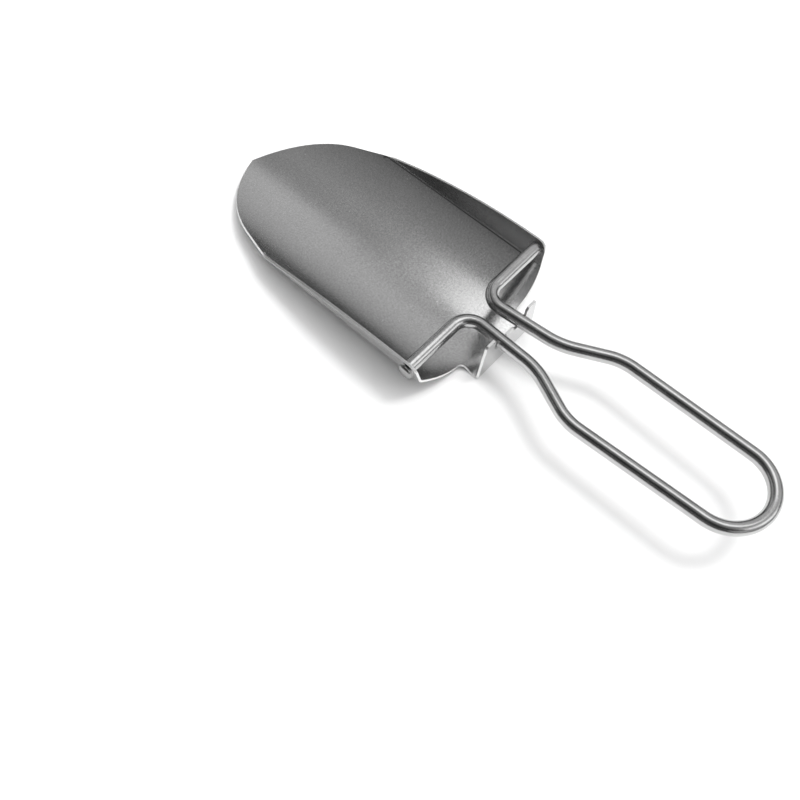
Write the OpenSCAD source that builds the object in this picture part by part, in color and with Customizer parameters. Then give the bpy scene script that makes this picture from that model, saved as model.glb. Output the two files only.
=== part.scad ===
// Folding camp shovel: a pressed stainless blade and a bent wire handle.
// The handle's two feet turn in the blade's side walls. Open, its two legs lie between the
// horns of the latch plate at the blade's rear. It folds up and over the blade to be packed.
// The blade lies along Y with its tip at +Y, and rests on its belly at z = 0.

/* [Blade] */
// Distance from the hinge axis to the tip
blade_reach = 115.5; // [108:0.5:122]
// Thickness of the blade's sheet
sheet = 1.0; // [0.8:0.1:1.2]
// Radius of the trough that the floor is rolled to, at mid thickness
trough_r = 71; // [68:1:76]
// Half the width of the floor, out to the crease below a side wall
crease_x = 34.2; // [33.6:0.1:34.8]
// Angle by which a side wall leans outward
wall_flare = 13; // [11:1:15]
// Radius of the crease, at mid thickness
crease_r = 2.0; // [1.6:0.1:2.4]

/* [Tip] */
// Distance from the hinge axis to the point where the side walls run out
kink_y = 71.8; // [70:0.1:73]
// Distance from the hinge axis to the point where the rounded tip begins
arch_y = 86.2; // [85:0.1:88]
// Half the blade's width where the rounded tip begins
arch_x = 29.8; // [29.4:0.1:30.2]
// Angle between the blade's axis and the straight edge that joins those two points
arch_angle = 17.3; // [16.5:0.1:18]

/* [Hinge] */
// Height of the hinge axis above the lowest line of the floor, at mid thickness
hinge_z = 14; // [13.6:0.1:14.4]
// Radius of the rounded ear around the hinge hole
ear_r = 4.2; // [4:0.1:4.4]
// Radial clearance of the wire in its hole
hole_gap = 0.07; // [0.05:0.01:0.08]

/* [Tongue and latch] */
// Half the width of the tongue behind the floor
tongue_x = 15.3; // [15:0.1:15.6]
// Radius of the corner between the tongue and the blade's rear edge
tongue_fillet = 2.5; // [2:0.1:2.7]
// Distance from the hinge axis to the start of the bend below the latch plate
bend_y = 14.8; // [14.6:0.1:15.2]
// Inside radius of that bend
bend_in = 0.5; // [0.4:0.1:0.8]
// Height of the latch plate's horns above the lowest line of the floor, at mid thickness
horn_z = 18.9; // [18.5:0.1:19.4]
// Half the width of the latch plate across the tops of its horns
horn_x = 13.8; // [13.5:0.1:14.3]
// Room between a leg and the floor of its notch
notch_gap = 0.3; // [0.3:0.05:0.5]

/* [Handle] */
// Diameter of the handle's wire
wire_d = 5.0; // [4.9:0.1:5.1]
// Angle by which the open handle rises toward its loop
handle_rise = 2.86; // [2.6:0.02:3.1]
// Half the spacing of the legs at the feet
foot_x = 4.67; // [4.62:0.01:4.75]
// Bend radius of the wire's middle line where a foot turns into a leg
foot_r = 7.2; // [6.6:0.1:7.8]
// Half the spacing of the legs where they flare into the grip
neck_x = 6.57; // [6.5:0.01:6.65]
// Half the width of the grip at its shoulders
shoulder_x = 16.1; // [15.8:0.1:16.6]
// Half the width of the grip at its end
end_x = 14.6; // [14.3:0.1:15]
// Distance from the hinge axis to the end of the grip, at the wire's middle line
end_y = 118.8; // [112:0.2:122]

/* [Hidden] */
$fn = 96;

steel = [0.74, 0.75, 0.76];
half_sheet = sheet / 2;
fine_fn = 240;
wide = 45;

// Bends are made this much fatter than the straight stretches, which run a little way into
// them, so that the pieces join into one solid.
seam = 0.02;
seam_run = 0.1;

// Section of the blade. The crease is where the floor's arc and the wall's line would cross.
crease = [crease_x, trough_r - sqrt(trough_r * trough_r - crease_x * crease_x)];
wall_dir = [sin(wall_flare), cos(wall_flare)];
wall_in = [-cos(wall_flare), sin(wall_flare)];
fold_from = crease + crease_r * wall_in - [0, trough_r];
fold_dot = fold_from * wall_dir;
fold_rest = fold_from * fold_from - pow(trough_r - crease_r, 2);
fold_shift = -fold_dot - sqrt(fold_dot * fold_dot - fold_rest);
fold_centre = crease + crease_r * wall_in + fold_shift * wall_dir;
floor_angle = asin(fold_centre.x / (trough_r - crease_r));
wall_foot = fold_centre - crease_r * wall_in;
wall_length = 14;

// Side view. A wall's top edge is an arc from the ear down to the kink.
ear_top = hinge_z + ear_r;
ear_lean = 12;
run_out_z = crease.y + 0.2;
wall_drop = ear_top - run_out_z;
wall_top_r = (kink_y * kink_y + wall_drop * wall_drop) / (2 * wall_drop);

// Plan of the tip. The arch runs from the end of the straight edge to the tip.
chord = [arch_x, blade_reach - arch_y];
chord_angle = atan(chord.x / chord.y);
arch_r = norm(chord) / (2 * sin(chord_angle - arch_angle));
arch_centre = [arch_x - arch_r * cos(arch_angle), arch_y - arch_r * sin(arch_angle)];

// Plan of the rear. Two arcs run from the tongue's corners out to the walls.
rear_y = -8.2;
rear_r = 41;
corner_x = tongue_x + tongue_fillet;
corner_y = rear_y - tongue_fillet;

// The tongue flattens from the trough's arc to the straight bend below the latch plate.
flat_length = 0.9;
loft_from = corner_y - 0.1;
loft_inset = 0.04;
loft_embed = 0.3;
loft_columns = 24;
loft_rows = 6;

// Latch plate. Its legs' notches are open at the top, and slope outward there to lead them in.
bend_mid = bend_in + half_sheet;
plate_y = bend_y + bend_mid;
neck_y = 32.6;
leg_x = foot_x + (neck_x - foot_x) * plate_y / neck_y;
leg_z = hinge_z + plate_y * tan(handle_rise);
notch_z = leg_z - wire_d / 2 - notch_gap;
notch_in = 2.3;
notch_out = leg_x + wire_d / 2 + 0.45;
tooth_z = leg_z - 0.6;
lead_z = 1.2;
lead_x = 0.7;
horn_clip = 0.7;
past = 0.1;

// Handle. The grip's round end is one arc, so its radius follows from the taper of its sides.
wire_r = wire_d / 2;
head_r = 3.0;
head_t = 1.4;
head_bevel = 0.45;
head_gap = 0.2;
wall_out = half_sheet / cos(wall_flare);
head_x = crease_x + (hinge_z + head_r - crease.y) * tan(wall_flare) + wall_out + head_gap;
neck_bend_r = 28;
shoulder_bend_r = 21;
shoulder_y = 52.2;
taper = atan((shoulder_x - end_x) / (end_y - shoulder_y));
end_r = end_x * tan(45 + taper / 2);
half_path = [[head_x, 0], [foot_x, 0], [neck_x, -neck_y], [shoulder_x, -shoulder_y],
             [end_x, -end_y], [0, -end_y]];
bend_radii = [0, foot_r, neck_bend_r, shoulder_bend_r, end_r];

// Middle of the whole shovel along Y. It is the origin.
loop_reach = end_y * cos(handle_rise) + wire_r;
mid_y = (blade_reach - loop_reach) / 2;

function unit(v) = v / norm(v);
function heading(v) = atan2(v.y, v.x);
function half_angle(i) =
    acos(unit(half_path[i - 1] - half_path[i]) * unit(half_path[i + 1] - half_path[i])) / 2;
function cut_back(i) = i == 0 ? 0 : bend_radii[i] / tan(half_angle(i));

module seat() {
    translate([0, -mid_y, half_sheet]) children();
}

module both_sides() {
    children();
    mirror([1, 0, 0]) children();
}

// Extrudes a section drawn in X and Z from y0 to y1.
module along_y(y0, y1) {
    translate([0, y1, 0])
        rotate([90, 0, 0])
            linear_extrude(height = y1 - y0) children();
}

// Extrudes a side view drawn in Y and Z across the whole width.
module across_x() {
    translate([-wide, 0, 0])
        rotate([90, 0, 90])
            linear_extrude(height = 2 * wide) children();
}

module band(r, half = half_sheet) {
    difference() {
        circle(r + half);
        circle(r - half);
    }
}

module trough_section() {
    far = trough_r + 10;
    spread = far * tan(floor_angle) + seam_run;
    fold_far = 2 * crease_r + sheet;
    translate([0, trough_r])
        intersection() {
            band(trough_r, $fn = fine_fn);
            polygon([[0, 0], [-spread, -far], [spread, -far]]);
        }
    both_sides() {
        translate(fold_centre)
            intersection() {
                band(crease_r, half_sheet + seam);
                polygon([[0, 0], fold_far * [sin(floor_angle), -cos(floor_angle)],
                         [fold_far, -fold_far], -fold_far * wall_in]);
            }
        translate(wall_foot)
            rotate(-wall_flare)
                translate([-half_sheet, -seam_run]) square([sheet, wall_length]);
    }
}

// Plan behind the tip: the rear edge, the tongue and the rounded corners between them.
module rear_outline() {
    translate([-corner_x, rear_y]) square([2 * corner_x, 2 * blade_reach]);
    translate([-tongue_x, loft_from]) square([2 * tongue_x, wide]);
    both_sides() {
        translate([corner_x, rear_y + rear_r]) circle(rear_r, $fn = fine_fn);
        translate([corner_x, rear_y + rear_r]) square([wide, 2 * blade_reach]);
        difference() {
            translate([tongue_x - 1, corner_y]) square(tongue_fillet + 1);
            translate([corner_x, corner_y]) circle(tongue_fillet);
        }
    }
}

// Plan of the tip: two straight edges, and the two arcs that meet at the point.
module tip_outline() {
    edge_y = arch_y - (wide - arch_x) / tan(arch_angle);
    polygon([[-wide, -wide], [wide, -wide], [wide, edge_y], [arch_x, arch_y],
             [-arch_x, arch_y], [-wide, edge_y]]);
    intersection() {
        translate(arch_centre) circle(arch_r, $fn = fine_fn);
        mirror([1, 0]) translate(arch_centre) circle(arch_r, $fn = fine_fn);
        translate([-wide, arch_y]) square([2 * wide, wide]);
    }
}

// Side view: the wall's top edge, the ear at the hinge, and room for the floor.
module side_outline() {
    back = [-ear_r * cos(ear_lean), hinge_z + ear_r * sin(ear_lean)];
    down = back - (back.y - crease.y) * [tan(ear_lean), 1];
    past_tip = blade_reach + 2;
    translate([0, ear_top - wall_top_r])
        intersection() {
            circle(wall_top_r, $fn = 4 * fine_fn);
            translate([0, wall_top_r - ear_top - past]) square([kink_y, 2 * ear_top]);
        }
    intersection() {
        translate([0, hinge_z]) circle(ear_r);
        translate([-wide, hinge_z]) square([wide, wide]);
    }
    polygon([[0, hinge_z], back, down, [-wide, down.y], [-wide, -wide], [past_tip, -wide],
             [past_tip, run_out_z], [kink_y, run_out_z], [kink_y, 0], [0, 0]]);
}

module trough() {
    intersection() {
        along_y(loft_from - 1, blade_reach + 1) trough_section();
        translate([0, 0, -wide])
            linear_extrude(height = 2 * wide)
                intersection() {
                    rear_outline();
                    tip_outline();
                }
        across_x() side_outline();
    }
}

// Sheet behind the floor, in rows of points that rise from the flat to the trough's arc. Its
// first and last rows run into the flat and the trough, a little inside their faces.
function ease(t) = t * t * (3 - 2 * t);
function loft_point(side, j, i) =
    let (flat_end = flat_length - bend_y,
         t = min(max((j - 1) / (loft_rows - 2), 0), 1),
         embed = j == 0 ? -loft_embed : j == loft_rows ? loft_embed : 0,
         x = (2 * i / loft_columns - 1) * (tongue_x - loft_inset),
         y = flat_end + t * (loft_from - flat_end) + embed,
         arc_z = trough_r - sqrt(trough_r * trough_r - x * x))
    [x, y, arc_z * ease(t) + side * (half_sheet - loft_inset)];
function quad(a, b, c, d) = [[a, b, c], [a, c, d]];

module tongue_loft() {
    row = loft_columns + 1;
    top = row * (loft_rows + 1);
    front = row * loft_rows;
    points = [for (side = [-1, 1], j = [0:loft_rows], i = [0:loft_columns])
        loft_point(side, j, i)];
    sheet_faces = [for (j = [0:loft_rows - 1], i = [0:loft_columns - 1])
        let (a = j * row + i, b = top + a)
        each concat(quad(a, a + 1, a + row + 1, a + row), quad(b, b + row, b + row + 1, b + 1))];
    end_faces = [for (i = [0:loft_columns - 1])
        let (a = i, b = front + i)
        each concat(quad(top + a, top + a + 1, a + 1, a), quad(top + b + 1, top + b, b, b + 1))];
    side_faces = [for (j = [0:loft_rows - 1])
        let (a = j * row, b = a + loft_columns)
        each concat(quad(top + a + row, top + a, a, a + row),
                    quad(top + b, top + b + row, b + row, b))];
    polyhedron(points, concat(sheet_faces, end_faces, side_faces));
}

// Side view of the tongue's flat, the bend and the latch plate.
module latch_profile() {
    translate([-bend_y, -half_sheet]) square([flat_length, sheet]);
    translate([-bend_y, bend_mid])
        intersection() {
            band(bend_mid);
            translate([-3 * bend_mid, -3 * bend_mid]) square(3 * bend_mid);
        }
    translate([-plate_y - half_sheet, bend_mid]) square([sheet, horn_z - bend_mid]);
}

// Front view of the latch plate, with its two notches and the tooth between them.
module latch_outline() {
    over = horn_z + past;
    difference() {
        polygon([[-tongue_x, -sheet], [tongue_x, -sheet], [tongue_x, bend_mid],
                 [horn_x, horn_z - horn_clip], [horn_x - horn_clip, over],
                 [horn_clip - horn_x, over], [-horn_x, horn_z - horn_clip],
                 [-tongue_x, bend_mid]]);
        translate([-notch_in - past, tooth_z]) square([2 * (notch_in + past), wide]);
        both_sides()
            polygon([[notch_in, notch_z], [notch_out, notch_z], [notch_out, horn_z - lead_z],
                     [notch_out + lead_x, over], [notch_in, over]]);
    }
}

module latch() {
    intersection() {
        across_x() latch_profile();
        along_y(-plate_y - sheet, -bend_y + sheet) latch_outline();
    }
}

module blade() {
    color(steel)
        seat()
            difference() {
                union() {
                    trough();
                    tongue_loft();
                    latch();
                }
                translate([-wide, 0, hinge_z])
                    rotate([0, 90, 0]) cylinder(r = wire_r + hole_gap, h = 2 * wide);
            }
}

// Straight wire from corner i of the half path to the next one.
module rod(i) {
    step = half_path[i + 1] - half_path[i];
    start = cut_back(i) - seam_run;
    stop = norm(step) - cut_back(i + 1) + seam_run;
    translate(half_path[i])
        rotate(heading(step))
            translate([start, 0, 0])
                rotate([0, 90, 0]) cylinder(r = wire_r - seam, h = stop - start);
}

// Bent wire around corner i of the half path.
module corner(i) {
    inward = unit(half_path[i - 1] - half_path[i]) + unit(half_path[i + 1] - half_path[i]);
    sweep = 180 - 2 * half_angle(i);
    translate(half_path[i] + unit(inward) * bend_radii[i] / sin(half_angle(i)))
        rotate(heading(-inward) - sweep / 2)
            rotate_extrude(angle = sweep)
                translate([bend_radii[i], 0]) circle(wire_r);
}

// The grip's round end.
module round_end() {
    translate([0, end_r - end_y])
        rotate(180 + taper)
            rotate_extrude(angle = 180 - 2 * taper)
                translate([end_r, 0]) circle(wire_r);
}

module head() {
    translate([head_x, 0, 0])
        rotate([0, 90, 0]) {
            cylinder(r = head_r, h = head_t - head_bevel);
            translate([0, 0, head_t - head_bevel])
                cylinder(r1 = head_r, r2 = head_r - 2 * head_bevel, h = head_bevel);
        }
}

module wire_handle() {
    color(steel)
        seat()
            translate([0, 0, hinge_z])
                rotate([-handle_rise, 0, 0]) {
                    round_end();
                    both_sides() {
                        head();
                        for (i = [0:3]) {
                            rod(i);
                        }
                        for (i = [1:3]) {
                            corner(i);
                        }
                    }
                }
}

blade();
wire_handle();
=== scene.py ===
"""Looks for the folding camp shovel: a satin pressed blade and a polished wire handle."""

import math

import bpy
import numpy as np
from mathutils import Matrix, Vector
from mathutils.geometry import delaunay_2d_cdt


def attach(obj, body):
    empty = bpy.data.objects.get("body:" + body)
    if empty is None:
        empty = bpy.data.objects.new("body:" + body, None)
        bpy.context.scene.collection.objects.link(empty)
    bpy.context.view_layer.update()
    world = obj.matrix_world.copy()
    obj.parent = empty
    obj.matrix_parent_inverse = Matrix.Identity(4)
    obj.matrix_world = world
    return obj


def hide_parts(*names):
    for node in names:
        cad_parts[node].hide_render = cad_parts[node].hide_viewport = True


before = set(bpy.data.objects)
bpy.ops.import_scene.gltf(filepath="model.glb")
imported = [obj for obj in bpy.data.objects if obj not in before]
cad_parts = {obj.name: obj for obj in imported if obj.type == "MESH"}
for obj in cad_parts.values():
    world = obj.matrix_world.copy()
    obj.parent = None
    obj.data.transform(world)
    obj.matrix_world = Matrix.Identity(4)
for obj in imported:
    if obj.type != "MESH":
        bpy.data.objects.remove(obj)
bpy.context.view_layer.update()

MM = 0.001
HINGE_Y = 2.826
BELLY = 0.5

# ---------------------------------------------------------------- blade section, in mm
HALF = 0.5
TROUGH_R = 71.0
CREASE_X = 34.2
FLARE = math.radians(13)
FOLD_R = 2.0
HINGE_Z = 14.0
EAR_R = 4.2
EAR_LEAN = math.radians(12)
HOLE_R = 2.57
BEND_Y = -14.8
BEND_R = 1.0
HORN_Z = 18.9
TIP_Y = 115.5
KINK_Y = 71.8
ARCH = (29.8, 86.2)
ARCH_ANGLE = math.radians(17.3)
REAR_Y = -8.2
REAR_R = 41.0
TONGUE_X = 15.3
FILLET = 2.5

crease_z = TROUGH_R - math.sqrt(TROUGH_R**2 - CREASE_X**2)
wall_dir = np.array([math.sin(FLARE), math.cos(FLARE)])
wall_in = np.array([-math.cos(FLARE), math.sin(FLARE)])
crease = np.array([CREASE_X, crease_z])
# The fold's centre is FOLD_R inside both the wall and the floor's arc.
from_arc_centre = crease + FOLD_R * wall_in - np.array([0, TROUGH_R])
along_wall = from_arc_centre @ wall_dir
reach = (TROUGH_R - FOLD_R) ** 2 - from_arc_centre @ from_arc_centre
shift = -along_wall - math.sqrt(along_wall**2 + reach)
fold_centre = crease + FOLD_R * wall_in + shift * wall_dir
FLOOR_ANGLE = math.asin(fold_centre[0] / (TROUGH_R - FOLD_R))
WALL_ANGLE = math.pi / 2 - FLARE
wall_foot = fold_centre - FOLD_R * wall_in
U_FLOOR = TROUGH_R * FLOOR_ANGLE
U_WALL = U_FLOOR + FOLD_R * (WALL_ANGLE - FLOOR_ANGLE)
FLAT_FROM, FLAT_TO = -8.6, -13.9
LEG_X, LEG_Z = 5.59, 14.79
WIRE_R = 2.5
PLATE_V = BEND_Y - BEND_R * math.pi / 2
RIM_ROUND = 0.14


def smooth(t):
    t = np.clip(t, 0, 1)
    return t * t * (3 - 2 * t)


def section(u):
    """Middle of the sheet in X and Z, at arc length u from the middle line."""
    a = np.abs(u)
    angle = np.where(a < U_FLOOR, a / TROUGH_R, FLOOR_ANGLE + (a - U_FLOOR) / FOLD_R)
    in_floor = a < U_FLOOR
    in_wall = a > U_WALL
    x = np.where(in_floor, TROUGH_R * np.sin(angle), fold_centre[0] + FOLD_R * np.sin(angle))
    z = np.where(in_floor, TROUGH_R * (1 - np.cos(angle)), fold_centre[1] - FOLD_R * np.cos(angle))
    x = np.where(in_wall, wall_foot[0] + (a - U_WALL) * wall_dir[0], x)
    z = np.where(in_wall, wall_foot[1] + (a - U_WALL) * wall_dir[1], z)
    return x * np.sign(u), z


def middle(u, v):
    """Middle of the sheet in space. v is Y, and goes on round the bend and up the latch plate."""
    x, z = section(u)
    flat = smooth((FLAT_FROM - v) / (FLAT_FROM - FLAT_TO))
    x = x * (1 - flat) + u * flat
    z = z * (1 - flat)
    round_bend = np.clip((BEND_Y - v) / BEND_R, 0, math.pi / 2)
    up_plate = np.maximum(BEND_Y - v - BEND_R * math.pi / 2, 0)
    y = np.maximum(v, BEND_Y) - BEND_R * np.sin(round_bend)
    z = z + BEND_R * (1 - np.cos(round_bend)) + up_plate
    return np.stack([x, y, z], -1)


def normal(u, v):
    """Unit normal of the sheet's upper face."""
    e = 1e-3
    du = middle(u + e, v) - middle(u - e, v)
    dv = middle(u, v + e) - middle(u, v - e)
    n = np.cross(du, dv)
    return n / np.linalg.norm(n, axis=-1, keepdims=True)


def u_of(x, v):
    """Arc length at which the sheet passes x, on the floor and the tongue."""
    flat = float(smooth((FLAT_FROM - v) / (FLAT_FROM - FLAT_TO)))
    return x + (1 - flat) * (TROUGH_R * math.asin(x / TROUGH_R) - x)


def u_at_height(z):
    """Arc length at which the wall or the fold passes height z."""
    us = np.linspace(0, U_WALL + 14, 4000)
    return float(np.interp(z, section(us)[1], us))


# ---------------------------------------------------------------- blade outline, unrolled
def arc(cx, cy, r, a0, a1, n):
    return [(cx + r * math.cos(a), cy + r * math.sin(a)) for a in np.linspace(a0, a1, n)]


def line(p, q, step=0.5):
    n = max(2, int(math.dist(p, q) / step) + 1)
    return [tuple(np.array(p) + (np.array(q) - np.array(p)) * t) for t in np.linspace(0, 1, n)]


def half_outline():
    """Right half of the outline as (u, v), from the tip round to the middle of the plate's top."""
    chord = (ARCH[0], TIP_Y - ARCH[1])
    r = math.hypot(*chord) / (2 * math.sin(math.atan2(*chord) - ARCH_ANGLE))
    cx, cy = ARCH[0] - r * math.cos(ARCH_ANGLE), ARCH[1] - r * math.sin(ARCH_ANGLE)
    top = math.atan2(TIP_Y - cy, -cx)
    plan = arc(cx, cy, r, top, ARCH_ANGLE, 90)
    kink_x = ARCH[0] + (ARCH[1] - KINK_Y) * math.tan(ARCH_ANGLE)
    plan += line(ARCH, (kink_x - 0.12, KINK_Y + 0.4))[1:]
    pts = [(u_of(x, y), y) for x, y in plan]
    # Top edge of the wall, from the kink back to the ear.
    ear_top = HINGE_Z + EAR_R
    drop = ear_top - float(section(np.array(u_of(kink_x, KINK_Y)))[1])
    wall_r = (KINK_Y**2 + drop**2) / (2 * drop)
    for y in np.linspace(KINK_Y - 0.2, 0, 150):
        pts.append((u_at_height(ear_top - wall_r + math.sqrt(wall_r**2 - y * y)), y))
    for a in np.linspace(math.pi / 2, math.pi - EAR_LEAN, 22)[1:]:
        pts.append((u_at_height(HINGE_Z + EAR_R * math.sin(a)), EAR_R * math.cos(a)))
    # Rear edge of the wall, down to the crease.
    back = (-EAR_R * math.cos(EAR_LEAN), HINGE_Z + EAR_R * math.sin(EAR_LEAN))
    corner_x = TONGUE_X + FILLET

    def rear(x):
        return REAR_Y + REAR_R - math.sqrt(REAR_R**2 - (x - corner_x) ** 2)

    for z in np.linspace(back[1], crease_z - 0.6, 24)[1:]:
        x = float(section(np.array(u_at_height(z)))[0])
        pts.append((u_at_height(z), max(back[0] - (back[1] - z) * math.tan(EAR_LEAN), rear(x))))
    for x in np.linspace(float(section(np.array(pts[-1][0]))[0]) - 0.4, corner_x, 40):
        pts.append((u_of(x, rear(x)), rear(x)))
    for a in np.linspace(math.pi / 2, math.pi, 14)[1:]:
        x, y = corner_x + FILLET * math.cos(a), REAR_Y - FILLET + FILLET * math.sin(a)
        pts.append((u_of(x, y), y))
    pts += [(TONGUE_X, v) for v in np.arange(REAR_Y - FILLET - 0.4, BEND_Y, -0.4)]
    # The latch plate, in the plane of the plate with heights turned into v.
    def at(x, z):
        return (x, PLATE_V - (z - BEND_R))

    notch_z, tooth_z, notch_out = LEG_Z - WIRE_R - 0.3, LEG_Z - 0.6, LEG_X + WIRE_R + 0.45
    plate = [at(TONGUE_X, 0.2 + BEND_R), at(13.86, HORN_Z - 0.9), at(13.1, HORN_Z),
             at(notch_out + 0.75, HORN_Z - 0.12), at(notch_out, HORN_Z - 1.4), at(notch_out, notch_z),
             at(2.3, notch_z), at(2.3, tooth_z), at(0, tooth_z)]
    radii = [0.5, 0.8, 0.5, 0.45, 0.5, 0.8, 0.6, 0.45, 0]
    for i, p in enumerate(plate[:-1]):
        before = pts[-1] if i == 0 else plate[i - 1]
        pts += rounded(before, p, plate[i + 1], radii[i])
    return pts + [plate[-1]]


def rounded(a, b, c, r):
    """Points of the corner at b between a and c, rounded to radius r."""
    a, b, c = (np.array(p, float) for p in (a, b, c))
    p, q = (a - b) / np.linalg.norm(a - b), (c - b) / np.linalg.norm(c - b)
    half = math.acos(float(np.clip(p @ q, -1, 1))) / 2
    cut = min(r / math.tan(half), 0.45 * np.linalg.norm(a - b), 0.45 * np.linalg.norm(c - b))
    r = cut * math.tan(half)
    centre = b + (p + q) / np.linalg.norm(p + q) * r / math.sin(half)
    s, e = b + p * cut - centre, b + q * cut - centre
    a0, a1 = math.atan2(s[1], s[0]), math.atan2(e[1], e[0])
    sweep = (a1 - a0 + math.pi) % (2 * math.pi) - math.pi
    return [tuple(centre + r * np.array([math.cos(a0 + sweep * t), math.sin(a0 + sweep * t)]))
            for t in np.linspace(0, 1, 7)]


def respaced(loop, step):
    """The loop with long stretches divided and very close points dropped."""
    out = []
    for i, p in enumerate(loop):
        q = loop[(i + 1) % len(loop)]
        d = math.dist(p, q)
        if d < 1e-4:
            continue
        n = max(1, round(d / step))
        out += [(p[0] + (q[0] - p[0]) * k / n, p[1] + (q[1] - p[1]) * k / n) for k in range(n)]
    return np.array(out)


def outward(loop):
    """Unit normals that point out of the material, for a loop with material on its left."""
    t = np.roll(loop, -1, 0) - np.roll(loop, 1, 0)
    t /= np.linalg.norm(t, axis=1, keepdims=True)
    return np.stack([t[:, 1], -t[:, 0]], 1)


def inside(points, loop):
    """Which points are inside the loop."""
    x, y = points[:, 0][:, None], points[:, 1][:, None]
    x0, y0 = loop[:, 0][None], loop[:, 1][None]
    x1, y1 = np.roll(loop[:, 0], -1)[None], np.roll(loop[:, 1], -1)[None]
    crosses = (y0 > y) != (y1 > y)
    with np.errstate(divide="ignore", invalid="ignore"):
        at = x0 + (y - y0) / (y1 - y0) * (x1 - x0)
    return (np.sum(crosses & (x < at), axis=1) % 2) == 1


def gap(points, loop):
    """Distance of each point from the nearest loop point."""
    return np.min(np.linalg.norm(points[:, None] - loop[None], axis=2), axis=1)


def build_blade():
    right = half_outline()
    left = [(-u, v) for u, v in reversed(right[1:-1])]
    outline = respaced(right + left, 0.45)
    area = np.sum(outline[:, 0] * np.roll(outline[:, 1], -1) - np.roll(outline[:, 0], -1) * outline[:, 1])
    if area < 0:
        outline = outline[::-1]
    hole_u = U_WALL + (HINGE_Z - wall_foot[1]) / math.cos(FLARE)
    loops = [outline]
    for side in (1, -1):
        a = np.linspace(0, -2 * math.pi, 64, endpoint=False)
        loops.append(np.stack([side * hole_u + HOLE_R * np.cos(a), HOLE_R * np.sin(a)], 1))

    inset = [lp - outward(lp) * RIM_ROUND for lp in loops]
    fold_us = np.linspace(U_FLOOR, U_WALL, 8)
    wall_us = np.arange(U_WALL + 0.9, U_WALL + 10, 0.9)
    side_us = np.concatenate([fold_us, wall_us])
    us = np.concatenate([-side_us[::-1], np.linspace(-U_FLOOR, U_FLOOR, 53)[1:-1], side_us])
    vs = np.concatenate([np.arange(TIP_Y, -5, -1.5), np.arange(-5.5, BEND_Y, -0.6),
                         np.linspace(BEND_Y, PLATE_V, 10), np.arange(PLATE_V - 0.7, PLATE_V - 19, -0.9)])
    grid = np.array([(u, v) for u in us for v in vs])
    grid = grid[inside(grid, inset[0])]
    for lp in inset[1:]:
        grid = grid[~inside(grid, lp)]
    for lp in inset:
        grid = grid[gap(grid, lp) > 0.4]

    flat = np.concatenate(inset + [grid])
    edges, start = [], 0
    for lp in inset:
        n = len(lp)
        edges += [(start + i, start + (i + 1) % n) for i in range(n)]
        start += n
    co, _, tris, orig, _, _ = delaunay_2d_cdt([Vector(p) for p in flat], edges, [], 0, 1e-7)
    co = np.array([tuple(p) for p in co])
    tris = np.array([t for t in tris])
    mid = co[tris].mean(axis=1)
    keep = inside(mid, inset[0])
    for lp in inset[1:]:
        keep &= ~inside(mid, lp)
    tris = tris[keep]
    # Ring points come back in their own order, so find each by its place.
    index = {}
    for i, o in enumerate(orig):
        for k in o:
            index[k] = i

    verts, norms, faces = [], [], []
    n2 = normal(co[:, 0], co[:, 1])
    m2 = middle(co[:, 0], co[:, 1])
    verts += [m2 + n2 * HALF, m2 - n2 * HALF]
    norms += [n2, -n2]
    n_top = len(co)
    faces += [tuple(t) for t in tris]
    faces += [tuple(t[::-1] + n_top) for t in tris]
    base, start = 2 * n_top, 0
    for lp in loops:
        n = len(lp)
        out2 = outward(lp)
        rings = []
        # Edge profile: inset face, round, straight, round, inset face.
        profile = [(RIM_ROUND * (1 - math.sin(a)), HALF - RIM_ROUND * (1 - math.cos(a)), a)
                   for a in np.radians([30, 60, 90])]
        profile += [(d, -h, math.pi - a) for d, h, a in reversed(profile)]
        e = 1e-3
        here = middle(lp[:, 0], lp[:, 1])
        side = middle(lp[:, 0] + out2[:, 0] * e, lp[:, 1] + out2[:, 1] * e) - here
        side /= np.linalg.norm(side, axis=1, keepdims=True)
        for d, h, a in profile:
            p = lp - out2 * d
            nn = normal(p[:, 0], p[:, 1])
            verts.append(middle(p[:, 0], p[:, 1]) + nn * h)
            norms.append(nn * math.cos(a) + side * math.sin(a))
            rings.append(np.arange(base, base + n))
            base += n
        top_ring = np.array([index[start + i] for i in range(n)])
        rings = [top_ring] + rings + [top_ring + n_top]
        for r0, r1 in zip(rings, rings[1:]):
            for i in range(n):
                j = (i + 1) % n
                faces.append((r0[i], r1[i], r1[j], r0[j]))
        start += n
    verts = np.concatenate(verts)
    norms = np.concatenate(norms)
    verts = (verts + np.array([0, HINGE_Y, BELLY])) * MM
    return mesh_object("blade_sheet", verts, faces, norms, 2 * n_top)


def mesh_object(name, verts, faces, norms, rim_from=None):
    """A smooth mesh with its own normals. Vertices from rim_from on are marked as cut edge."""
    mesh = bpy.data.meshes.new(name)
    mesh.from_pydata([tuple(p) for p in verts], [], [tuple(int(i) for i in f) for f in faces])
    mesh.validate()
    mesh.update()
    mesh.shade_smooth()
    if rim_from is not None:
        rim = mesh.attributes.new("rim", "FLOAT", "POINT")
        rim.data.foreach_set("value", [float(i >= rim_from) for i in range(len(verts))])
    norms = norms / np.linalg.norm(norms, axis=1, keepdims=True)
    mesh.normals_split_custom_set_from_vertices([tuple(n) for n in norms])
    obj = bpy.data.objects.new(name, mesh)
    bpy.context.scene.collection.objects.link(obj)
    return obj


# ---------------------------------------------------------------- wire handle, in mm
RISE = math.radians(2.86)
HEAD_X = 36.81
HEAD_T = 1.4
FOOT_X = 4.67
NECK = (6.57, -32.6)
SHOULDER = (16.1, -52.2)
END_X, END_Y = 14.6, -118.8
FOOT_BEND_R, NECK_BEND_R, SHOULDER_BEND_R = 7.2, 28, 21


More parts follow.
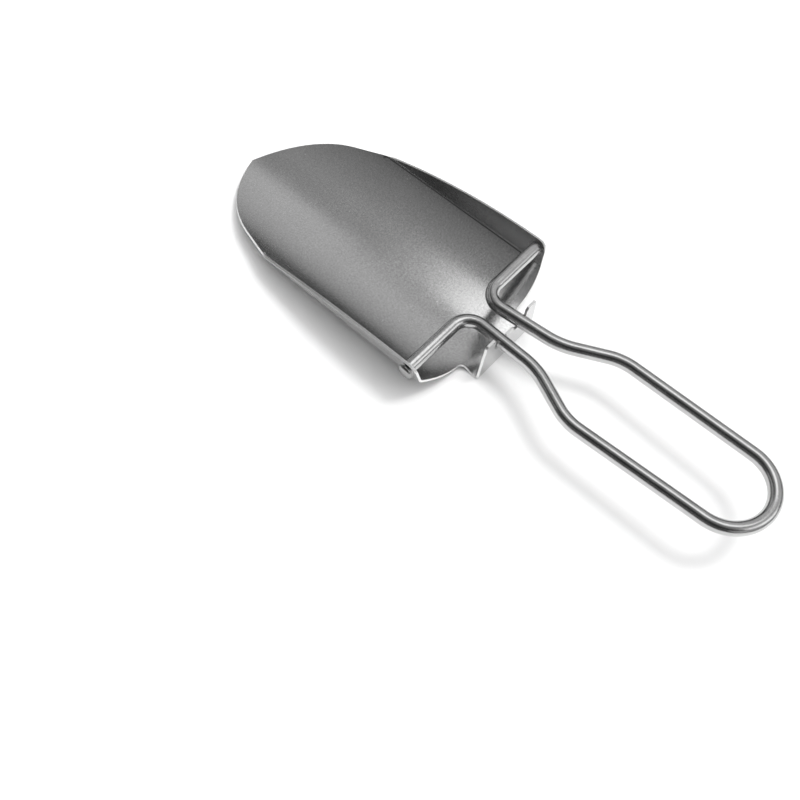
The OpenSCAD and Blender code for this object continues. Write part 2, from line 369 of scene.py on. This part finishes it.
def wire_path():
    """Middle line of the right half in the handle's plane: (points, tangents)."""
    corners = [(HEAD_X + HEAD_T, 0), (FOOT_X, 0), NECK, SHOULDER, (END_X, END_Y), (0, END_Y)]
    taper = math.atan2(SHOULDER[0] - END_X, SHOULDER[1] - END_Y)
    end_r = END_X * math.tan(math.pi / 4 + taper / 2)
    radii = [0, FOOT_BEND_R, NECK_BEND_R, SHOULDER_BEND_R, end_r, 0]
    c = [np.array(p, float) for p in corners]
    pts, tans = [], []
    last = c[0]
    for i in range(1, 5):
        p = (c[i - 1] - c[i]) / np.linalg.norm(c[i - 1] - c[i])
        q = (c[i + 1] - c[i]) / np.linalg.norm(c[i + 1] - c[i])
        half = math.acos(float(p @ q)) / 2
        cut = radii[i] / math.tan(half)
        s, e = c[i] + p * cut, c[i] + q * cut
        n = max(2, int(np.linalg.norm(s - last) / 1.2))
        for k in range(n):
            pts.append(last + (s - last) * k / n)
            tans.append(-p)
        centre = c[i] + (p + q) / np.linalg.norm(p + q) * radii[i] / math.sin(half)
        a0, a1 = math.atan2(*(s - centre)[::-1]), math.atan2(*(e - centre)[::-1])
        sweep = (a1 - a0 + math.pi) % (2 * math.pi) - math.pi
        m = max(6, int(abs(sweep) * radii[i] / 0.5))
        for k in range(m):
            a = a0 + sweep * k / m
            pts.append(centre + radii[i] * np.array([math.cos(a), math.sin(a)]))
            tans.append(np.array([-math.sin(a), math.cos(a)]) * np.sign(sweep))
        last = e
    pts.append(last)
    tans.append(np.array([-1.0, 0.0]))
    return np.array(pts), np.array(tans)


def head_profile():
    """Peened end as (distance in from the very end, radius, slope of the surface)."""
    return [(0.0, 0.35, 86), (0.02, 1.2, 80), (0.1, 1.9, 68), (0.28, 2.5, 48), (0.52, 2.82, 26),
            (0.8, 2.96, 8), (1.08, 2.96, -12), (1.28, 2.84, -40), (1.4, 2.62, -70), (1.43, 2.5, -20),
            (1.7, 2.5, 0)]


def build_handle():
    half, tan = wire_path()
    ends = head_profile()
    start = half[0]
    keep = half[:, 0] < start[0] - 2.2
    first = int(np.argmax(keep))
    rings = [(start + np.array([-d, 0]), np.array([-1.0, 0.0]), r, math.radians(s)) for d, r, s in ends]
    rings += [(p, t, WIRE_R, 0.0) for p, t in zip(half[first:], tan[first:])]
    mirrored = [(p * [-1, 1], t * [1, -1], r, -s) for p, t, r, s in reversed(rings[:-1])]
    rings += mirrored
    sides = 56
    verts, norms, faces = [], [], []
    rise = np.array([[1, 0, 0], [0, math.cos(RISE), math.sin(RISE)], [0, -math.sin(RISE), math.cos(RISE)]])
    for p, t, r, s in rings:
        a = np.linspace(0, 2 * math.pi, sides, endpoint=False)
        flat = np.array([-t[1], t[0], 0.0])
        radial = np.outer(np.cos(a), flat) + np.outer(np.sin(a), [0, 0, 1])
        verts.append((np.array([p[0], p[1], 0.0]) + radial * r) @ rise.T)
        norms.append((radial * math.cos(s) - np.array([t[0], t[1], 0.0]) * math.sin(s)) @ rise.T)
    for k in range(len(rings) - 1):
        for i in range(sides):
            j = (i + 1) % sides
            b, c = k * sides, (k + 1) * sides
            faces.append((b + i, b + j, c + j, c + i))
    faces.append(tuple(reversed(range(sides))))
    last = (len(rings) - 1) * sides
    faces.append(tuple(last + i for i in range(sides)))
    verts = np.concatenate(verts)
    verts = (verts + np.array([0, HINGE_Y, BELLY + HINGE_Z])) * MM
    return mesh_object("wire_bent", verts, faces, np.concatenate(norms))


# ---------------------------------------------------------------- materials
class Nodes:
    """Small helper that adds and links shader nodes."""

    def __init__(self, name):
        self.mat = bpy.data.materials.new(name)
        self.mat.use_nodes = True
        self.tree = self.mat.node_tree
        self.shader = self.tree.nodes["Principled BSDF"]

    def add(self, kind, values=None, **props):
        node = self.tree.nodes.new(kind)
        for key, value in props.items():
            setattr(node, key, value)
        for key, value in (values or {}).items():
            if isinstance(value, bpy.types.NodeSocket):
                self.tree.links.new(value, node.inputs[key])
            else:
                node.inputs[key].default_value = value
        return node

    def link(self, socket, name):
        self.tree.links.new(socket, self.shader.inputs[name])

    def remap(self, value, low, high, to_low, to_high):
        node = self.add("ShaderNodeMapRange", {"Value": value, "From Min": low, "From Max": high,
                                               "To Min": to_low, "To Max": to_high})
        return node.outputs["Result"]

    def math(self, op, a, b):
        return self.add("ShaderNodeMath", {0: a, 1: b}, operation=op).outputs[0]

    def noise(self, vector, scale, detail=3.0, rough=0.5):
        node = self.add("ShaderNodeTexNoise", {"Vector": vector, "Scale": scale, "Detail": detail,
                                               "Roughness": rough})
        return node.outputs["Fac"]

    def stretched(self, scale):
        place = self.add("ShaderNodeTexCoord").outputs["Object"]
        return self.add("ShaderNodeMapping", {"Vector": place, "Scale": scale}).outputs["Vector"]


def satin_sheet():
    """Satin stainless sheet with fine grain, light scratches, specks and paler cut edges."""
    m = Nodes("satin_sheet")
    grain = m.noise(m.stretched((1900, 1100, 1900)), 1.0, 2.0)
    fine = m.noise(m.stretched((1, 1, 1)), 1500.0, 3.0, 0.7)
    cloud = m.noise(m.stretched((1, 1, 1)), 38.0, 3.0)
    scratches = m.noise(m.stretched((900, 40, 900)), 1.0, 4.0, 0.7)
    worn = m.remap(scratches, 0.66, 0.74, 0.0, 1.0)
    specks = m.remap(m.noise(m.stretched((1, 1, 1)), 520.0, 1.0), 0.78, 0.82, 0.0, 1.0)
    tone = m.math("ADD", m.remap(cloud, 0.3, 0.7, -0.02, 0.02), m.remap(grain, 0.3, 0.7, 0.53, 0.59))
    tone = m.math("ADD", tone, m.math("MULTIPLY", worn, 0.05))
    tone = m.math("ADD", tone, m.math("MULTIPLY", specks, 0.2))
    tone = m.math("ADD", tone, m.remap(fine, 0.3, 0.7, -0.08, 0.08))
    rim = m.add("ShaderNodeAttribute", attribute_name="rim").outputs["Fac"]
    tone = m.math("ADD", tone, m.math("MULTIPLY", rim, 0.3))
    colour = m.add("ShaderNodeCombineColor", {0: tone, 1: tone, 2: tone}).outputs[0]
    m.link(colour, "Base Color")
    rough = m.math("ADD", m.remap(cloud, 0.3, 0.7, 0.19, 0.23), m.remap(fine, 0.3, 0.7, -0.03, 0.03))
    rough = m.math("ADD", rough, m.math("MULTIPLY", worn, 0.06))
    rough = m.math("ADD", rough, m.math("MULTIPLY", rim, 0.22))
    m.link(rough, "Roughness")
    height = m.math("ADD", m.math("MULTIPLY", grain, 0.5), m.math("MULTIPLY", fine, 0.5))
    bump = m.add("ShaderNodeBump", {"Strength": 0.3, "Distance": 0.00002, "Height": height})
    m.link(bump.outputs["Normal"], "Normal")
    m.shader.inputs["Metallic"].default_value = 1.0
    return m.mat


def polished_wire():
    """Drawn and polished wire with lengthwise lines, and painted shade on its hammered ends: a darker base
    tone that stands in for the dark surroundings they reflect.
    """
    m = Nodes("polished_wire")
    lines = m.noise(m.stretched((1500, 45, 1500)), 1.0, 3.0)
    fine = m.noise(m.stretched((1, 1, 1)), 1900.0, 2.0)
    spots = m.noise(m.stretched((1, 1, 1)), 160.0, 3.0)
    tone = m.remap(spots, 0.3, 0.7, 0.5, 0.58)
    tone = m.math("ADD", tone, m.remap(lines, 0.3, 0.7, -0.03, 0.03))
    place = m.add("ShaderNodeSeparateXYZ", {0: m.add("ShaderNodeTexCoord").outputs["Object"]})
    reach = m.add("ShaderNodeMath", {0: place.outputs["X"]}, operation="ABSOLUTE").outputs[0]
    # Painted shade: the base tone is darker at both hammered ends of the wire, standing in for the dark
    # reflection they show.
    painted_end_shade = m.remap(reach, 0.0366, 0.0370, 0.0, 1.0)
    tone = m.math("ADD", tone, m.math("MULTIPLY", painted_end_shade, -0.22))
    colour = m.add("ShaderNodeCombineColor", {0: tone, 1: tone, 2: tone}).outputs[0]
    m.link(colour, "Base Color")
    rough = m.math("ADD", m.remap(spots, 0.3, 0.7, 0.21, 0.26), m.remap(fine, 0.3, 0.7, -0.02, 0.02))
    m.link(rough, "Roughness")
    height = m.math("ADD", m.math("MULTIPLY", lines, 0.6), m.math("MULTIPLY", fine, 0.4))
    bump = m.add("ShaderNodeBump", {"Strength": 0.15, "Distance": 0.00002, "Height": height})
    m.link(bump.outputs["Normal"], "Normal")
    m.shader.inputs["Metallic"].default_value = 1.0
    return m.mat


# ---------------------------------------------------------------- studio
# Long soft strips over the object: (right edge, left edge) in degrees from overhead, radiance.
# The radiances were worked out from the grey bands across the photographed blade's floor, then rounded.
STRIPS = [(72, 66, 0.34), (66, 60, 0.45), (60, 53, 0.53), (53, 40, 0.6), (40, 31, 0.46), (31, 15, 0.32),
          (15, 9, 0.37), (9, 2, 0.32), (2, -4, 0.28), (-4, -10.5, 0.24), (-10.5, -17, 0.2), (-17, -24, 0.11)]
STRIP_HEIGHT = 1.4


def fitted_camera():
    """Camera fitted to the photograph's viewing angle. It is first placed in the handle's plane, in mm."""
    az, el, roll = math.radians(-48.80), math.radians(60.01), math.radians(0.84)
    aside, above, away = 26.61, 33.66, 317.89
    look = np.array([-math.sin(az) * math.cos(el), math.cos(az) * math.cos(el), -math.sin(el)])
    right = np.array([math.cos(az), math.sin(az), 0.0])
    up = np.cross(right, look)
    r2 = math.cos(roll) * right + math.sin(roll) * up
    u2 = -math.sin(roll) * right + math.cos(roll) * up
    place = -(r2 * aside + u2 * above + look * away)
    # That plane is tilted about X from the floor's, so the camera tips with it.
    tip = np.array([[1, 0, 0], [0, 0.99875, 0.05], [0, -0.05, 0.99875]])
    place = (tip @ place + np.array([0, HINGE_Y, BELLY + HINGE_Z])) * MM
    cam = bpy.data.cameras.new("camera")
    cam.sensor_width = 36
    cam.lens = 40.28175
    cam.clip_start, cam.clip_end = 0.01, 20
    obj = bpy.data.objects.new("camera", cam)
    obj.matrix_world = Matrix.LocRotScale(Vector(place), Matrix(
        np.stack([tip @ r2, tip @ u2, -(tip @ look)], 1).tolist()), None)
    bpy.context.scene.collection.objects.link(obj)
    bpy.context.scene.camera = obj


def polar(distance, right, ahead):
    """A place over the object, tilted from overhead by two angles in degrees."""
    a, b = math.radians(right), math.radians(ahead)
    return (distance * math.sin(a) * math.cos(b), distance * math.sin(b),
            distance * math.cos(a) * math.cos(b))


def softbox(name, place, width, height, radiance):
    """An area light at a place, turned to the middle of the object. Height runs along Y."""
    light = bpy.data.lights.new(name, "AREA")
    light.shape = "RECTANGLE"
    light.size, light.size_y = width, height
    light.energy = radiance * math.pi * width * height
    obj = bpy.data.objects.new(name, light)
    back = Vector(place).normalized()
    across = Vector((0, 1, 0)).cross(back).normalized()
    obj.matrix_world = Matrix.LocRotScale(
        Vector(place), Matrix((across, back.cross(across), back)).transposed(), None)
    bpy.context.scene.collection.objects.link(obj)
    return obj


def studio():
    """Pale floor, dark room and soft boxes."""
    world = bpy.data.worlds.new("studio")
    world.use_nodes = True
    world.node_tree.nodes["Background"].inputs["Color"].default_value = (0.04, 0.04, 0.04, 1)
    bpy.context.scene.world = world
    mesh = bpy.data.meshes.new("floor")
    s = 3.0
    mesh.from_pydata([(-s, -s, 0), (s, -s, 0), (s, s, 0), (-s, s, 0)], [], [(0, 1, 2, 3)])
    floor = bpy.data.objects.new("floor", mesh)
    bpy.context.scene.collection.objects.link(floor)
    m = Nodes("pale_floor")
    m.shader.inputs["Base Color"].default_value = (0.9, 0.9, 0.9, 1)
    m.shader.inputs["Roughness"].default_value = 0.9
    m.shader.inputs["Specular IOR Level"].default_value = 0.1
    mesh.materials.append(m.mat)
    for i, (right, left, radiance) in enumerate(STRIPS):
        half = math.radians(right - left) / 2
        across = 2 * STRIP_HEIGHT * math.tan(half)
        softbox(f"strip_{i}", polar(STRIP_HEIGHT, (right + left) / 2, 0), across, 2.4, radiance)
    softbox("middle", polar(1.4, 23, -18), 0.4, 2.1, 0.17)
    softbox("front_side", polar(1.5, 35.5, 44), 0.25, 0.9, 0.2)
    softbox("window", polar(0.9, 17.5, 1), 0.34, 0.58, 1.35)
    softbox("rear", polar(1.3, 22, -50), 1.0, 0.45, 1.3)
    # Low boxes round the room, for the sides of the object that face away from the camera.
    softbox("low_rear", polar(1.6, 0, -68), 2.4, 0.7, 0.45)
    softbox("low_front", polar(1.6, 0, 66), 2.4, 0.6, 0.4)
    softbox("low_left", polar(1.6, -68, 0), 0.6, 2.4, 0.1)
    # The floor's own light is left out of reflections, so the metal stays calm over a white floor.
    softbox("key", polar(1.3, 22.6, -13), 0.32, 0.32, 17.0).visible_glossy = False
    softbox("fill", polar(1.5, 8, -4), 2.4, 2.4, 1.5).visible_glossy = False
    bpy.context.scene.view_settings.view_transform = "Standard"


blade = build_blade()
blade.data.materials.append(satin_sheet())
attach(blade, "blade")
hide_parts("blade")

handle = build_handle()
handle.data.materials.append(polished_wire())
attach(handle, "wire_handle")
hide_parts("wire_handle")

fitted_camera()
studio()
